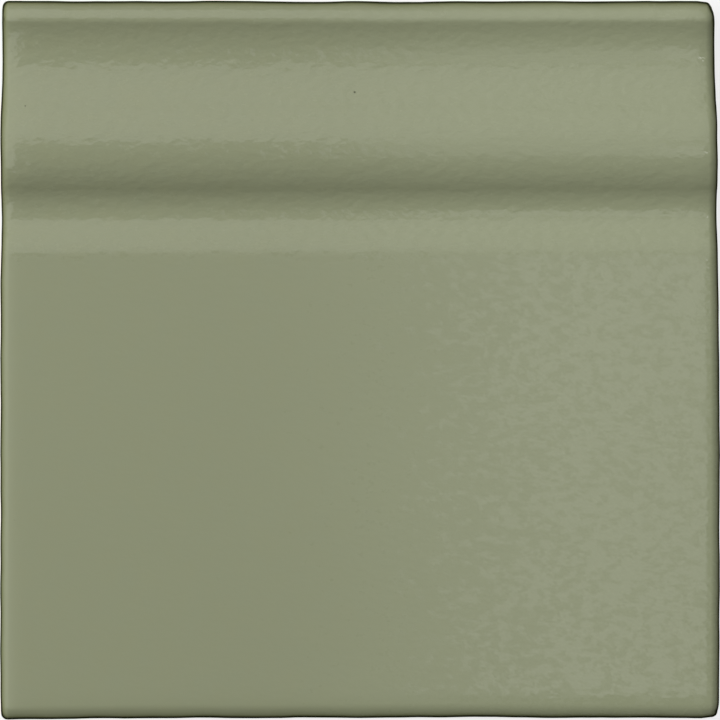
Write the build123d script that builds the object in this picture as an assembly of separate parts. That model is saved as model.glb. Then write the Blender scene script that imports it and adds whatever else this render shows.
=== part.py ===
from build123d import *
import math
import os

# A glazed ceramic skirting tile: one pressed and fired piece with a moulded upper edge.
# Sizes are in millimetres. The tile lies on its back with its moulded face up:
# +X runs along the skirting, +Y points to the tile's top edge, and +Z comes out of the wall.
# The origin is the middle of the back.

# Outline, seen from the front
tile_length = 150.0
tile_height = 150.0
plan_corner_radius = 1.2

# Thickness above the back, from the top edge down to the foot
bead_thickness = 10.6
swell_thickness = 13.0
groove_thickness = 8.3
field_thickness = 10.4

# Quarter-round bead along the top edge, and the arris under it
bead_radius = 4.2
arris_radius = 0.8
arris_slope = 30.0

# Width of each slope down the face: into the cove, up to the swell, down to the groove, up to the field
cove_width = 7.7
swell_rise_width = 18.6
swell_fall_width = 14.1
groove_rise_width = 8.5

# Share of each slope taken up by the curve at its upper end
cove_share = 0.55
swell_share = 0.6
groove_share = 0.45

# Rounded foot, and rounded ends that meet their side walls at a slight crease
foot_radius = 3.2
end_radius = 2.2
end_crease = 8.0

# Back: the pressed arris round it, and the keying grooves that the adhesive grips
back_arris = 0.6
key_pairs = 4
key_width = 4.0
key_depth = 0.8
key_wall_slope = 60.0
key_margin = 12.0

right_angle = 90.0
overall_thickness = max(bead_thickness, swell_thickness, groove_thickness, field_thickness)
top_edge = tile_height / 2
foot_edge = -tile_height / 2
end_edge = tile_length / 2


def slope_between(upper, lower, share):
    """Two arcs that leave one level point and reach the next one level."""
    turn = (
        upper[0] + share * (lower[0] - upper[0]),
        upper[1] + share * (lower[1] - upper[1]),
    )
    first = TangentArc(upper, turn, tangent=(-1, 0))
    second = TangentArc(turn, lower, tangent=first % 1)
    return [first, second]


def bead_and_cove():
    """The bead's quarter round, the arris where it stops, and the cove down to its level line."""
    slope = math.radians(arris_slope)
    side = (top_edge, bead_thickness - bead_radius)
    bead = JernArc(side, (0, 1), bead_radius, right_angle)
    arris = JernArc(bead @ 1, bead % 1, arris_radius, arris_slope)
    cove = JernArc(arris @ 1, arris % 1, cove_width / math.sin(slope), -arris_slope)
    return [bead, arris, cove]


def face_section():
    """The closed section across the tile: first value Y, second value thickness."""
    top = bead_and_cove()
    cove = tuple(top[-1] @ 1)[:2]
    swell = (cove[0] - swell_rise_width, swell_thickness)
    groove = (swell[0] - swell_fall_width, groove_thickness)
    field = (groove[0] - groove_rise_width, field_thickness)
    foot_crest = (foot_edge + foot_radius, field_thickness)
    foot_round = JernArc(foot_crest, (-1, 0), foot_radius, right_angle)
    outline = [
        Line((foot_edge, 0), (top_edge, 0)),
        Line((top_edge, 0), top[0] @ 0),
        *top,
        *slope_between(cove, swell, cove_share),
        *slope_between(swell, groove, swell_share),
        *slope_between(groove, field, groove_share),
        Line(field, foot_crest),
        foot_round,
        Line(foot_round @ 1, (foot_edge, 0)),
    ]
    return Face(Wire(outline))


def standing_at(section, x):
    """The section stood up across the tile at this X."""
    return Plane(origin=(x, 0, 0), x_dir=(0, 1, 0), z_dir=(1, 0, 0)) * section


def moulded_length(section):
    """The straight run of the section, with both ends sinking along an arc to their side walls."""
    turn = right_angle - end_crease
    start_x = end_edge - end_radius * math.sin(math.radians(turn))
    path = Plane.XZ * JernArc((start_x, 0), (1, 0), end_radius, -turn)
    end = sweep(standing_at(section, start_x), path, normal=(1, 0, 0))
    middle = extrude(standing_at(section, -start_x), 2 * start_x)
    return middle + end + mirror(end, about=Plane.YZ)


def plan_prism():
    """Everything above the back's plane and inside the outline, which rounds the four corners."""
    outline = RectangleRounded(tile_length, tile_height, plan_corner_radius)
    return extrude(outline, overall_thickness)


def key_cutter():
    """One keying groove, wider at its mouth, as long as the margins leave room for."""
    mouth = Rectangle(tile_length - 2 * key_margin, key_width)
    return extrude(mouth, key_depth, taper=right_angle - key_wall_slope)


def key_lines():
    """Y of each keying groove, in pairs either side of the back's flat middle."""
    pitch = (tile_height / 2 - key_margin) / key_pairs
    upper = [(n + 0.5) * pitch for n in range(key_pairs)]
    return upper + [-y for y in upper]


def skirting_tile():
    """The whole fired body."""
    body = moulded_length(face_section()) & plan_prism()
    rim = body.faces().sort_by(Axis.Z)[0].outer_wire().edges()
    body = chamfer(rim, back_arris)
    for y in key_lines():
        body -= Pos(0, y, 0) * key_cutter()
    return body


tile = skirting_tile()
os.makedirs("parts", exist_ok=True)
export_step(tile, "parts/skirting_tile.step")
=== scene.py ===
import math

import bmesh
import bpy
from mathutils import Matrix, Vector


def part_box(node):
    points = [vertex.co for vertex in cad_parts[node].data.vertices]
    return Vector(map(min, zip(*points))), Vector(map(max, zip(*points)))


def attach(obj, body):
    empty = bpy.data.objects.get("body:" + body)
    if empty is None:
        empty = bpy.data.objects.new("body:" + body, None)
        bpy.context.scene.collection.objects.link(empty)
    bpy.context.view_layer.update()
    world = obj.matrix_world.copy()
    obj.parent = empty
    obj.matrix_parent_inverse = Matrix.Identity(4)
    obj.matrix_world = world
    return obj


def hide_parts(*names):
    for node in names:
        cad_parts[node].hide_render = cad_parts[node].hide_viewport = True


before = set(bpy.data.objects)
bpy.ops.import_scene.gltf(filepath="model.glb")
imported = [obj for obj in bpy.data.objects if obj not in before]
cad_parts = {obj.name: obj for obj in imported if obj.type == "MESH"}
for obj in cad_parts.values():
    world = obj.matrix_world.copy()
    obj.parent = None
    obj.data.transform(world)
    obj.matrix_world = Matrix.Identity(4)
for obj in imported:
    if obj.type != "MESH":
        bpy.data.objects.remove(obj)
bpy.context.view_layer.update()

# A glazed skirting tile lying on its back, face up: +X along the skirting, +Y to its top edge
MM = 0.001

tile_low, tile_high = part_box("skirting_tile")
tile_length = tile_high.x - tile_low.x
tile_height = tile_high.y - tile_low.y
swell_thickness = tile_high.z - tile_low.z
top_edge = tile_high.y
foot_edge = tile_low.y

# Thickness above the back, from the top edge down to the foot
bead_thickness = 10.6 * MM
groove_thickness = 8.3 * MM
field_thickness = 10.4 * MM

# Quarter-round bead along the top edge, and the arris under it
bead_radius = 4.2 * MM
arris_radius = 0.8 * MM
arris_slope = math.radians(30)

# Width of each slope down the face, and the share of it that curves away from its upper end
cove_width = 7.7 * MM
swell_rise_width, cove_share = 18.6 * MM, 0.55
swell_fall_width, swell_share = 14.1 * MM, 0.60
groove_rise_width, groove_share = 8.5 * MM, 0.45

# Rounded foot and ends, the share of the ends' rounding that the upright corners get, and the back's arris
foot_radius = 3.2 * MM
end_radius = 2.2 * MM
corner_share = 0.55
back_arris = 0.6 * MM
round_steps, arris_steps = 12, 2

# Keying grooves in the back
key_pairs = 4
key_width = 4.0 * MM
key_depth = 0.8 * MM
key_wall = 0.46 * MM
key_margin = 12.0 * MM

# Spacing of the lines that carry the shape, and how near to a place counts as being there
moulding_step = 0.6 * MM
field_step = 1.5 * MM
near = 0.01 * MM
smooth_angle = math.radians(35)

# The face sinks a little on its way to the ends and to the foot, and more at both ends of the moulding,
# while the walls keep their place up to a height
wall_foot = 5.0 * MM
end_sink, end_reach = 0.50 * MM, 5.0 * MM
foot_sink, foot_reach = 0.62 * MM, 7.0 * MM
worn_sink, worn_reach, worn_from = 0.55 * MM, 6.0 * MM, 54 * MM
soft_end_sink, soft_end_reach, soft_end_from = 0.45 * MM, 9.0 * MM, 42 * MM

# Pressing and firing leave the moulded edge a little narrower than the foot
narrow_share = 0.9908
narrow_reach = 105.0 * MM
narrow_centre = -43.0 * MM

# Pulls on the outline: how wide a spot each one holds, then where it is, which way it goes, and its reach
pull_hold = 1.6 * MM
outline_pulls = [
    ((-75 * MM, -75 * MM), (0, -0.35 * MM), 32 * MM),
    ((-75 * MM, 75 * MM), (0, 0.16 * MM), 24 * MM),
    ((8 * MM, 75 * MM), (0, -0.12 * MM), 45 * MM),
    ((20 * MM, -75 * MM), (0, 0.22 * MM), 70 * MM),
    ((75 * MM, 75 * MM), (-0.35 * MM, -0.45 * MM), 3.5 * MM),
    ((75 * MM, -75 * MM), (-0.25 * MM, 0.25 * MM), 3.0 * MM),
]

# Unevenness of the fired outline, and how far in from it that is felt
outline_wander = 0.4 * MM
outline_wander_size = 12 * MM
outline_wander_detail = 2
rim_width = 3.0 * MM


def level_arc_height(down, level, other):
    """Height on an arc, at a distance down the face: it is level at one point and passes through another."""
    run = other[0] - level[0]
    drop = level[1] - other[1]
    radius = (run * run + drop * drop) / (2 * drop)
    along = down - level[0]
    return level[1] - radius + math.copysign(math.sqrt(radius * radius - along * along), radius)


def part_way(upper, lower, share):
    """The point at a share of the way from one point of the section to another."""
    return tuple(a + share * (b - a) for a, b in zip(upper, lower))


def moulding_arcs():
    """The moulding's arcs in order down the face: the level point, the other point and the end of each."""
    crest = (bead_radius, bead_thickness)
    arris = (
        crest[0] + arris_radius * math.sin(arris_slope),
        crest[1] - arris_radius * (1 - math.cos(arris_slope)),
    )
    cove_radius = cove_width / math.sin(arris_slope)
    cove = (arris[0] + cove_width, arris[1] - cove_radius * (1 - math.cos(arris_slope)))
    swell = (cove[0] + swell_rise_width, swell_thickness)
    groove = (swell[0] + swell_fall_width, groove_thickness)
    field = (groove[0] + groove_rise_width, field_thickness)
    arcs = [(crest, arris, arris[0]), (cove, arris, cove[0])]
    for upper, lower, share in (
        (cove, swell, cove_share),
        (swell, groove, swell_share),
        (groove, field, groove_share),
    ):
        turn = part_way(upper, lower, share)
        arcs += [(upper, turn, turn[0]), (lower, turn, lower[0])]
    return arcs


def moulding_height(down, arcs):
    """Thickness of the tile at a distance down the face from its top edge."""
    if down <= bead_radius:
        return bead_thickness
    for level, other, end in arcs:
        if down <= end:
            return level_arc_height(down, level, other)
    return field_thickness


def pick(piece, kind, wanted):
    """Selects the vertices, edges or faces that `wanted` accepts, and nothing else."""
    bpy.ops.mesh.select_mode(type=kind)
    bpy.ops.mesh.select_all(action="DESELECT")
    mesh = bmesh.from_edit_mesh(piece.data)
    elements = {"VERT": mesh.verts, "EDGE": mesh.edges, "FACE": mesh.faces}[kind]
    for element in elements:
        if wanted(element):
            element.select_set(True)
    bmesh.update_edit_mesh(piece.data)


def runs_at(edge, axis, place):
    """Whether both ends of an edge lie at this place along an axis."""
    return all(abs(vertex.co[axis] - place) < near for vertex in edge.verts)


def round_edge(piece, wanted, radius, steps):
    """Rounds the chosen edges over to a radius."""
    pick(piece, "EDGE", wanted)
    bpy.ops.mesh.bevel(offset=radius, segments=steps, profile=0.5, affect="EDGES", clamp_overlap=False)


def faces_down(face):
    return face.normal.z < -0.9


def cut_lines(piece, axis, places, wanted=lambda face: True):
    """Cuts the wanted faces across an axis at each of these places."""
    normal = [0.0, 0.0, 0.0]
    normal[axis] = 1.0
    for place in places:
        point = [0.0, 0.0, 0.0]
        point[axis] = place
        pick(piece, "FACE", wanted)
        bpy.ops.mesh.bisect(plane_co=point, plane_no=normal)


def spaced(start, end, step):
    """Evenly spaced places between two ends, both left out, no further apart than the step."""
    count = math.ceil((end - start) / step)
    return [start + (end - start) * n / count for n in range(1, count)]


def round_ends(tile):
    """Rounds the end outlines over, less so down the four upright corners."""
    mesh = bmesh.from_edit_mesh(tile.data)
    weights = mesh.edges.layers.float.new("bevel_weight_edge")
    for edge in mesh.edges:
        if runs_at(edge, 0, tile_low.x) or runs_at(edge, 0, tile_high.x):
            levelness = abs(edge.verts[0].co.y - edge.verts[1].co.y) / edge.calc_length()
            on_back = runs_at(edge, 2, 0)
            edge[weights] = 0 if on_back else corner_share + (1 - corner_share) * levelness
    bmesh.update_edit_mesh(tile.data)
    bpy.ops.object.mode_set(mode="OBJECT")
    rounding = tile.modifiers.new("round_ends", "BEVEL")
    rounding.limit_method = "WEIGHT"
    rounding.width = end_radius
    rounding.segments = round_steps
    rounding.use_clamp_overlap = False
    bpy.ops.object.modifier_apply(modifier=rounding.name)
    bpy.ops.object.mode_set(mode="EDIT")


def pressed_blank():
    """The plain block with its edges rounded, before the moulding is raised on it."""
    bpy.ops.object.select_all(action="DESELECT")
    bpy.ops.mesh.primitive_cube_add(size=1, location=(0, 0, field_thickness / 2))
    tile = bpy.context.object
    tile.name = "glazed_tile"
    tile.scale = (tile_length, tile_height, field_thickness)
    bpy.ops.object.transform_apply(location=True, scale=True)
    bpy.ops.object.mode_set(mode="EDIT")
    for edge_y, radius in ((foot_edge, foot_radius), (top_edge, bead_radius)):
        round_edge(
            tile,
            lambda e: runs_at(e, 1, edge_y) and runs_at(e, 2, field_thickness),
            radius,
            round_steps,
        )
    round_ends(tile)
    round_edge(tile, lambda e: runs_at(e, 2, 0), back_arris, arris_steps)
    return tile


def key_lines():
    """Y of each keying groove, in pairs either side of the back's flat middle."""
    pitch = (tile_height / 2 - key_margin) / key_pairs
    upper = [(n + 0.5) * pitch for n in range(key_pairs)]
    return upper + [-y for y in upper]


def press_keys(tile):
    """Presses the keying grooves into the back, with sloped walls."""
    half_width = key_width / 2
    half_length = tile_length / 2 - key_margin
    cut_lines(tile, 0, [-half_length, half_length], faces_down)
    for y in key_lines():
        cut_lines(tile, 1, [y - half_width, y + half_width], faces_down)
        pick(
            tile,
            "FACE",
            lambda f: faces_down(f)
            and abs(f.calc_center_median().y - y) < half_width
            and abs(f.calc_center_median().x) < half_length,
        )
        bpy.ops.mesh.inset(thickness=key_wall, depth=-key_depth)


def raise_moulding(tile):
    """Cuts the face into lines along the skirting and lifts each one to its place in the section."""
    arcs = moulding_arcs()
    field_line = top_edge - arcs[-1][2]
    moulding_lines = spaced(field_line, top_edge - bead_radius, moulding_step)
    last_line = field_line - moulding_step / 2
    cut_lines(tile, 1, moulding_lines + [top_edge - bead_radius, field_line, last_line])
    cut_lines(tile, 1, spaced(foot_edge + foot_radius, last_line, field_step))
    rim = field_thickness - end_radius - near
    for y in moulding_lines:
        lift = moulding_height(top_edge - y, arcs) - field_thickness
        pick(tile, "VERT", lambda v: abs(v.co.y - y) < near and v.co.z > rim)
        bpy.ops.transform.translate(value=(0, 0, lift))
    bead_rim = field_thickness - bead_radius - near
    pick(tile, "VERT", lambda v: v.co.y > top_edge - bead_radius - near and v.co.z > bead_rim)
    bpy.ops.transform.translate(value=(0, 0, bead_thickness - field_thickness))


def divide_length(tile):
    """Cuts the tile into short lengths, so that its edges can wander."""
    straight_to = tile_length / 2 - end_radius
    cut_lines(tile, 0, spaced(-straight_to, straight_to, field_step))


def ease_edges(tile):
    """Lets the face sink towards both ends and the foot, and draws the moulded edge in."""
    pick(tile, "VERT", lambda v: v.co.z < wall_foot)
    bpy.ops.mesh.hide(unselected=False)
    soft = {"use_proportional_edit": True, "proportional_edit_falloff": "SHARP"}
    for wanted, sink, reach in (
        (lambda v: abs(v.co.x) > tile_high.x - near, end_sink, end_reach),
        (lambda v: v.co.y < foot_edge + near, foot_sink, foot_reach),
        (lambda v: v.co.x > tile_high.x - near and v.co.y > worn_from, worn_sink, worn_reach),
        (lambda v: v.co.x < tile_low.x + near and v.co.y > soft_end_from, soft_end_sink, soft_end_reach),
    ):
        pick(tile, "VERT", lambda v: not v.hide and wanted(v))
        bpy.ops.transform.translate(value=(0, 0, -sink), proportional_size=reach, **soft)
    bpy.ops.mesh.reveal(select=False)
    pick(tile, "VERT", lambda v: v.co.y > top_edge - bead_radius - near)
    bpy.ops.transform.resize(
        value=(narrow_share, 1, 1),
        center_override=(narrow_centre, 0, 0),
        proportional_size=narrow_reach,
        **soft,
    )
    for (x, y), (pull_x, pull_y), reach in outline_pulls:
        pick(tile, "VERT", lambda v: abs(v.co.x - x) < pull_hold and abs(v.co.y - y) < pull_hold)
        bpy.ops.transform.translate(value=(pull_x, pull_y, 0), proportional_size=reach, **soft)


def mark_rim(tile):
    """Names the outer few millimetres as the rim, strongest at the outline itself."""
    rim = tile.vertex_groups.new(name="rim")
    for vertex in tile.data.vertices:
        inwards = min(tile_length / 2 - abs(vertex.co.x), tile_height / 2 - abs(vertex.co.y))
        rim.add([vertex.index], max(0.0, 1 - inwards / rim_width), "REPLACE")


def fit_to_frame(tile):
    """Resizes the uneven tile so that it fills the box of its solid again, with its back on the floor."""
    for axis, length in enumerate(tile_high - tile_low):
        places = [v.co[axis] for v in tile.data.vertices]
        low, high = min(places), max(places)
        shift, scale = [0.0, 0.0, 0.0], [1.0, 1.0, 1.0]
        shift[axis] = tile_low[axis] - low
        scale[axis] = length / (high - low)
        bpy.ops.transform.translate(value=shift)
        bpy.ops.transform.resize(value=scale, center_override=tile_low)


def wander(tile, name, direction):
    """Pushes the rim to and fro along one direction by a soft cloud pattern, and makes that its shape."""
    clouds = bpy.data.textures.new(name, "CLOUDS")
    clouds.noise_scale = outline_wander_size
    clouds.noise_depth = outline_wander_detail
    modifier = tile.modifiers.new(name, "DISPLACE")
    modifier.texture = clouds
    modifier.direction = direction
    modifier.strength = outline_wander
    modifier.vertex_group = "rim"
    bpy.ops.object.modifier_apply(modifier=name)


def fired_tile():
    """The tile's mesh, from the plain block to the fired piece."""
    tile = pressed_blank()
    press_keys(tile)
    raise_moulding(tile)
    divide_length(tile)
    ease_edges(tile)
    bpy.ops.object.mode_set(mode="OBJECT")
    mark_rim(tile)
    wander(tile, "uneven_ends", "X")
    wander(tile, "uneven_edges", "Y")
    bpy.ops.object.mode_set(mode="EDIT")
    bpy.ops.mesh.select_all(action="SELECT")
    fit_to_frame(tile)
    bpy.ops.mesh.normals_make_consistent(inside=False)
    bpy.ops.object.mode_set(mode="OBJECT")
    bpy.ops.object.shade_smooth_by_angle(angle=smooth_angle)
    return tile


class Signal:
    """A number or colour on its way through a finish. Sums and products of it add Math nodes."""

    def __init__(self, finish, socket):
        self.finish = finish
        self.socket = socket

    def maths(self, operation, *values):
        return self.finish.add("Math", {"operation": operation}, dict(enumerate(values)))

    def __add__(self, other):
        return self.maths("ADD", self, other)

    def __radd__(self, other):
        return self.maths("ADD", other, self)

    def __sub__(self, other):
        return self.maths("SUBTRACT", self, other)

    def __rsub__(self, other):
        return self.maths("SUBTRACT", other, self)

    def __mul__(self, other):
        return self.maths("MULTIPLY", self, other)

    def __rmul__(self, other):
        return self.maths("MULTIPLY", other, self)

    def most(self, other):
        return self.maths("MAXIMUM", self, other)


class Finish:
    """A material made only of nodes that `add` puts in."""

    def __init__(self, name):
        self.material = bpy.data.materials.new(name)
        self.material.use_nodes = True
        self.tree = self.material.node_tree
        self.tree.nodes.clear()

    def add(self, kind, settings, inputs, output=0):
        """Adds a node: its settings first, then the values or links of its sockets. Returns one output."""
        node = self.tree.nodes.new("ShaderNode" + kind)
        for name, value in settings.items():
            setattr(node, name, value)
        for name, value in inputs.items():
            socket = self.find(node.inputs, name)
            if isinstance(value, Signal):
                self.tree.links.new(value.socket, socket)
            else:
                socket.default_value = value
        return Signal(self, self.find(node.outputs, output))

    @staticmethod
    def find(sockets, name):
        """A socket by its number, name or identifier."""
        if isinstance(name, int):
            return sockets[name]
        return next(s for s in sockets if name in (s.identifier, s.name))

    def part(self, vector, axis):
        """One coordinate of a place or a direction."""
        return self.add("SeparateXYZ", {}, {"Vector": vector}, axis)

    def mix(self, first, second, share):
        """A colour that is the first one where share is 0, and the second one where it is 1."""
        inputs = {"Factor_Float": share, "A_Color": first, "B_Color": second}
        return self.add("Mix", {"data_type": "RGBA"}, inputs, "Result_Color")

    def blend(self, first, second, share):
        """A shader that is the first one where share is 0, and the second one where it is 1."""
        return self.add("MixShader", {}, {0: share, 1: first, 2: second})

    def place(self, stretch=(1, 1, 1)):
        """Where a point is on the piece, with its axes stretched for patterns that run one way."""
        point = self.add("TexCoord", {}, {}, "Object")
        return self.add("Mapping", {}, {"Vector": point, "Scale": stretch})

    def cloud(self, point, size, detail=2.0, roughness=0.5):
        """A soft random pattern, from 0 to 1, with patches of about this size in metres."""
        inputs = {"Vector": point, "Scale": 1 / size, "Detail": detail, "Roughness": roughness}
        return self.add("TexNoise", {}, inputs, "Fac")

    def span(self, value, low, high):
        """0 up to the low value, 1 from the high value on, and smooth between."""
        inputs = {"Value": value, "From Min": low, "From Max": high}
        return self.add("MapRange", {"interpolation_type": "SMOOTHSTEP"}, inputs)

    def end(self, shader):
        """Makes this shader the material's surface, and returns the material."""
        output = self.tree.nodes.new("ShaderNodeOutputMaterial")
        self.tree.links.new(shader.socket, output.inputs["Surface"])
        return self.material


SAGE = (0.253, 0.275, 0.174, 1)
SAGE_WARM = (0.259, 0.275, 0.166, 1)
# Painted light: a paler sage that brightens the glaze towards the right end
SAGE_PAINTED_LIGHT = (0.286, 0.309, 0.193, 1)
WALL_SAGE = (0.260, 0.283, 0.180, 1)
# Painted shade: a darker olive for the rounded edges where the face turns down
OLIVE_PAINTED_SHADE = (0.180, 0.196, 0.092, 1)
# Dark olive for the pinholes, and for the painted shade line where the walls turn up into the face
DARK_PINHOLE_AND_SHADE = (0.006, 0.008, 0.002, 1)
BISCUIT = (0.66, 0.58, 0.46, 1)
BISCUIT_DARK = (0.58, 0.49, 0.37, 1)
WHITE = (1, 1, 1, 1)
PALE = (0.93, 0.93, 0.93, 1)
BOUNCE_WARM = (0.32, 0.32, 0.22, 1)

# Pinholes in the glaze: middle and radius of each, the flat share of it, and how deep and dark they are
pinholes = [((-1.1 * MM, 55.7 * MM), 0.30 * MM), ((-69.5 * MM, 52.8 * MM), 0.22 * MM)]
pinhole_flat = 0.3
pinhole_strength = 0.7

# Patterns in the glaze and the biscuit: the size of their patches, and how fine and rough they are
speckle = (4 * MM, 3.0)
ripple_pattern = (1.5 * MM, 2.0, 0.42)
flake_pattern = (1.6 * MM, 5.0, 0.66)
biscuit_grain = (0.5 * MM, 4.0, 0.7)
ripple_stretch = (0.7, 1.0, 1.0)
flake_stretch = (0.75, 1.0, 1.0)
ripple_depth = 0.14 * MM
field_calm = 0.75

# Along the skirting: where painted light makes the glaze paler, where its flakes gather, where it clears and
# where it dulls
painted_light_span = (-20 * MM, 75 * MM)
painted_light_size, painted_light_stray = 40 * MM, 30 * MM
flakes_gather = (-40 * MM, 55 * MM)
clearing = (5 * MM, 45 * MM)
dull_start, dull_end = (-4 * MM, 26 * MM), (66 * MM, 72 * MM)
dull_stray = 12 * MM

# Up the face: where the field ends, where the cove starts, and how far the crest of the swell reaches
field_end = (18 * MM, 26 * MM)
cove_start = (60.5 * MM, 63.5 * MM)
crest_start, crest_end = (35 * MM, 43 * MM), (46 * MM, 58 * MM)

# From the walls, at 0, to the level face, at 1: the edges of the painted shade line, the turn to painted
# olive shade on the rounding, and the face
shade_line_start, shade_line_end = (0.18, 0.34), (0.36, 0.66)
painted_shade_turn = (0.58, 0.86)
face_turn = (0.45, 0.75)

# How much of the glaze is glossy flakes, on the moulding and on the field, and how crisp their edges are
moulding_sheen, field_loss, right_gain = 0.09, 0.32, 0.24
flake_edge = (0.475, 0.505)

# Shine of the glaze: its satin layer, and its clear layer between the flakes and on them
satin_roughness = 0.34
clear_roughness, flake_gloss = 0.28, 0.23
least_clear = 0.7
glaze_ior = 1.345

# The walls: where the glaze line runs above the back, how far it strays, and the shine of biscuit and glaze
glaze_line, glaze_line_stray = (1.5 * MM, 1.8 * MM), 1.2 * MM
biscuit_roughness, wall_gloss = 0.85, 0.35
wall_ior = 1.36


def pinhole_depth(finish, point):
    """1 in the middle of each pinhole, and 0 away from them."""
    depth = 0.0
    for (x, y), radius in pinholes:
        middle = (x, y, moulding_height(top_edge - y, moulding_arcs()))
        inputs = {"Vector": point, "Vector_001": middle}
        away = finish.add("VectorMath", {"operation": "DISTANCE"}, inputs, "Value")
        depth = 1 - finish.span(away, pinhole_flat * radius, radius) + depth
    return depth


def glaze_colour(finish, point, level, holes):
    """Sage, finely speckled, made paler to the right by painted light, with dark pinholes, and darker olive
    as painted shade where it turns down.
    """
    light_stray = finish.cloud(point, painted_light_size) * painted_light_stray
    glaze = finish.mix(SAGE, SAGE_WARM, finish.cloud(point, *speckle))
    # Painted light: the glaze gets paler towards the right end
    glaze = finish.mix(glaze, SAGE_PAINTED_LIGHT, finish.span(finish.part(point, "X") + light_stray, *painted_light_span))
    glaze = finish.mix(glaze, DARK_PINHOLE_AND_SHADE, holes * pinhole_strength)
    # Painted shade: the glaze turns to darker olive on the rounding as it turns down
    return finish.mix(OLIVE_PAINTED_SHADE, glaze, finish.span(level, *painted_shade_turn))


def glaze_ripple(finish, field, holes):
    """The fine ripple in the glaze, calmer on the field, with its pinholes."""
    peel = finish.cloud(finish.place(ripple_stretch), *ripple_pattern)
    ripple = (peel - 0.5) * (1 - field_calm * field) - holes * pinhole_strength
    return finish.add("Bump", {}, {"Height": ripple, "Distance": ripple_depth, "Strength": 1.0}, "Normal")


def glossy_flakes(finish, along, across, field):
    """1 on the glossy flakes and 0 between: most of the moulding, and more to the right on the field."""
    flakes = finish.cloud(finish.place(flake_stretch), *flake_pattern)
    gathered = finish.span(along, *flakes_gather) * field
    sheen = moulding_sheen + field * (right_gain * gathered - field_loss)
    cove = finish.span(across, *cove_start)
    crest = finish.span(across, *crest_start) * (1 - finish.span(across, *crest_end))
    strayed = along + flakes * dull_stray
    dull = finish.span(strayed, *dull_start) * (1 - finish.span(strayed, *dull_end))
    return finish.span(flakes + sheen, *flake_edge) * (1 - (cove + crest) * dull)


def face_glaze(finish, point, glaze, holes):
    """The face's glaze: a satin layer, and a clear layer that is sharp on its flakes and soft between."""
    along = finish.part(point, "X")
    across = finish.part(point, "Y")
    field = 1 - finish.span(across, *field_end)
    ripple = glaze_ripple(finish, field, holes)
    glossy = glossy_flakes(finish, along, across, field)
    satin, clear = (
        finish.add(
            "BsdfPrincipled",
            {},
            {"Base Color": glaze, "Roughness": roughness, "IOR": glaze_ior, "Normal": ripple},
        )
        for roughness in (satin_roughness, clear_roughness - glossy * flake_gloss)
    )
    clearness = least_clear + (1 - least_clear) * finish.span(along, *clearing) * field
    return finish.blend(satin, clear, clearness)


def side_walls(finish, point, level, glaze):
    """Sage walls with a dark painted shade line under the face's edge, over a pale biscuit that is bare near
    the back.
    """
    height = finish.part(point, "Z")
    glazed = finish.span(height + finish.cloud(point, *speckle) * glaze_line_stray, *glaze_line)
    biscuit = finish.mix(BISCUIT, BISCUIT_DARK, finish.cloud(point, *biscuit_grain))
    # Painted shade: a dark line round the top of the wall, where it turns into the face
    wall = finish.mix(WALL_SAGE, DARK_PINHOLE_AND_SHADE, finish.span(level, *shade_line_start))
    wall = finish.mix(wall, glaze, finish.span(level, *shade_line_end))
    inputs = {
        "Base Color": finish.mix(biscuit, wall, glazed),
        "Roughness": biscuit_roughness - glazed * wall_gloss,
        "IOR": wall_ior,
        "Specular IOR Level": 0.0,
    }
    return finish.add("BsdfPrincipled", {}, inputs)


def glazed_ceramic():
    """Sage glaze, satin on the face and plain on the walls, over the biscuit that shows near the back."""
    finish = Finish("sage_glaze")
    point = finish.place()
    level = finish.part(finish.add("TexCoord", {}, {}, "Normal"), "Z")
    holes = pinhole_depth(finish, point)
    glaze = glaze_colour(finish, point, level, holes)
    face = face_glaze(finish, point, glaze, holes)
    walls = side_walls(finish, point, level, glaze)
    return finish.end(finish.blend(walls, face, finish.span(level, *face_turn)))


# Studio floor: its radius and sides, each step of its upswept edge, and how much of its colour is lit
floor_radius, floor_sides = 4.5, 96
floor_sweep = ((0.03, 1.05), (0.10, 1.04), (0.30, 1.03), (0.50, 1.0))
floor_lit_share = 0.25

# Studio light: heights of the panels, and how bright each one and the room are
ceiling_height, card_height = 1.5, 1.02
ceiling_glow, middle_glow, right_glow = 2.12, 2.0, 1.6
card_glow, far_card_glow, lamp_glow = 2.12, 2.3, 10
room_glow = 0.10

# Edges of the panels, along X and along Y
ceiling_rows = (0.30, 3.3)
left_columns, middle_columns, right_columns = (-3.9, 0.0), (0.0, 0.12), (0.12, 0.68)
side_columns, side_rows = (-3.9, -0.40), (-1.1, 0.30)
card_columns, card_rows, far_card_rows = (0.01, 0.26), (-0.19, -0.03), (-0.03, 0.15)
lamp_columns, lamp_rows = (0.30, 0.36), (0.06, 0.12)

# Camera: its height above the back in metres, and its lens and sensor in millimetres
camera_height = 1.01
lens_length, sensor_width = 240.6, 36


def floor_paint():
    """White floor, seen with a light shadow by the camera and reflections, that throws little light back."""
    finish = Finish("pale_floor")
    camera = finish.add("LightPath", {}, {}, "Is Camera Ray")
    glossy = finish.add("LightPath", {}, {}, "Is Glossy Ray")
    through = finish.add("LightPath", {}, {}, "Is Transmission Ray")
    seen = camera.most(glossy).most(through)
    dull = finish.add("BsdfDiffuse", {}, {"Color": BOUNCE_WARM})
    lit = finish.add("BsdfDiffuse", {}, {"Color": PALE})
    white = finish.add("Emission", {}, {"Color": WHITE, "Strength": 1.0})
    return finish.end(finish.blend(dull, finish.blend(white, lit, floor_lit_share), seen))


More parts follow.
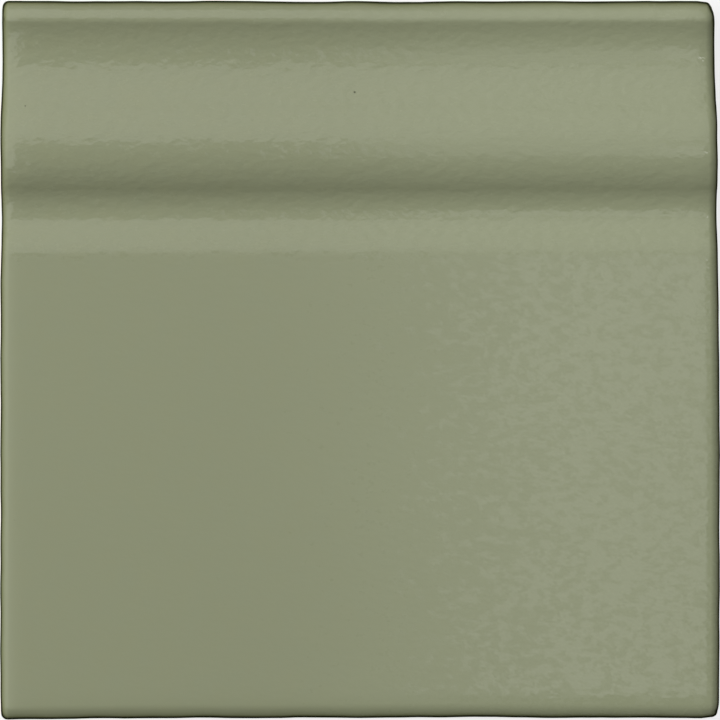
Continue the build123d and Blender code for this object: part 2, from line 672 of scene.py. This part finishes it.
def studio_floor():
    """A round floor whose edge sweeps up, so that low views end on it too."""
    bpy.ops.object.select_all(action="DESELECT")
    bpy.ops.mesh.primitive_circle_add(vertices=floor_sides, radius=floor_radius, fill_type="NGON")
    floor = bpy.context.object
    floor.name = "studio_floor"
    bpy.ops.object.mode_set(mode="EDIT")
    pick(floor, "EDGE", lambda e: True)
    for rise, widen in floor_sweep:
        bpy.ops.mesh.extrude_region_move(TRANSFORM_OT_translate={"value": (0, 0, rise)})
        bpy.ops.transform.resize(value=(widen, widen, 1), center_override=(0, 0, 0))
    bpy.ops.mesh.select_all(action="SELECT")
    bpy.ops.mesh.normals_make_consistent(inside=True)
    bpy.ops.object.mode_set(mode="OBJECT")
    bpy.ops.object.shade_smooth_by_angle(angle=smooth_angle)
    floor.data.materials.append(floor_paint())


def light_panel(name, columns, rows, height, glow):
    """A flat soft light that faces straight down, between these edges and as bright all over."""
    (left, right), (near_y, far_y) = columns, rows
    lamp = bpy.data.lights.new(name, "AREA")
    lamp.shape = "RECTANGLE"
    lamp.size, lamp.size_y = right - left, far_y - near_y
    lamp.energy = glow * math.pi * lamp.size * lamp.size_y
    panel = bpy.data.objects.new(name, lamp)
    panel.location = ((left + right) / 2, (near_y + far_y) / 2, height)
    bpy.context.scene.collection.objects.link(panel)


def studio_light():
    """A ceiling of soft panels above the top edge and the left end, cards nearer by, and a dim room."""
    light_panel("top_panel", left_columns, ceiling_rows, ceiling_height, ceiling_glow)
    light_panel("top_middle_panel", middle_columns, ceiling_rows, ceiling_height, middle_glow)
    light_panel("top_right_panel", right_columns, ceiling_rows, ceiling_height, right_glow)
    light_panel("left_panel", side_columns, side_rows, ceiling_height, ceiling_glow)
    light_panel("right_card", card_columns, card_rows, card_height, card_glow)
    light_panel("far_right_card", card_columns, far_card_rows, card_height, far_card_glow)
    light_panel("small_lamp", lamp_columns, lamp_rows, card_height, lamp_glow)
    world = bpy.data.worlds.new("dim_room")
    world.use_nodes = True
    background = world.node_tree.nodes["Background"]
    background.inputs["Color"].default_value = WHITE
    background.inputs["Strength"].default_value = room_glow
    bpy.context.scene.world = world


def studio_camera():
    """Looks straight down on the face from the photograph's distance."""
    lens = bpy.data.cameras.new("camera")
    lens.sensor_width = sensor_width
    lens.lens = lens_length
    camera = bpy.data.objects.new("camera", lens)
    camera.location = (0, 0, camera_height)
    bpy.context.scene.collection.objects.link(camera)
    bpy.context.scene.camera = camera


tile = fired_tile()
tile.data.materials.append(glazed_ceramic())
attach(tile, "root")
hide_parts("skirting_tile")

studio_floor()
studio_light()
studio_camera()
bpy.context.scene.view_settings.view_transform = "Standard"
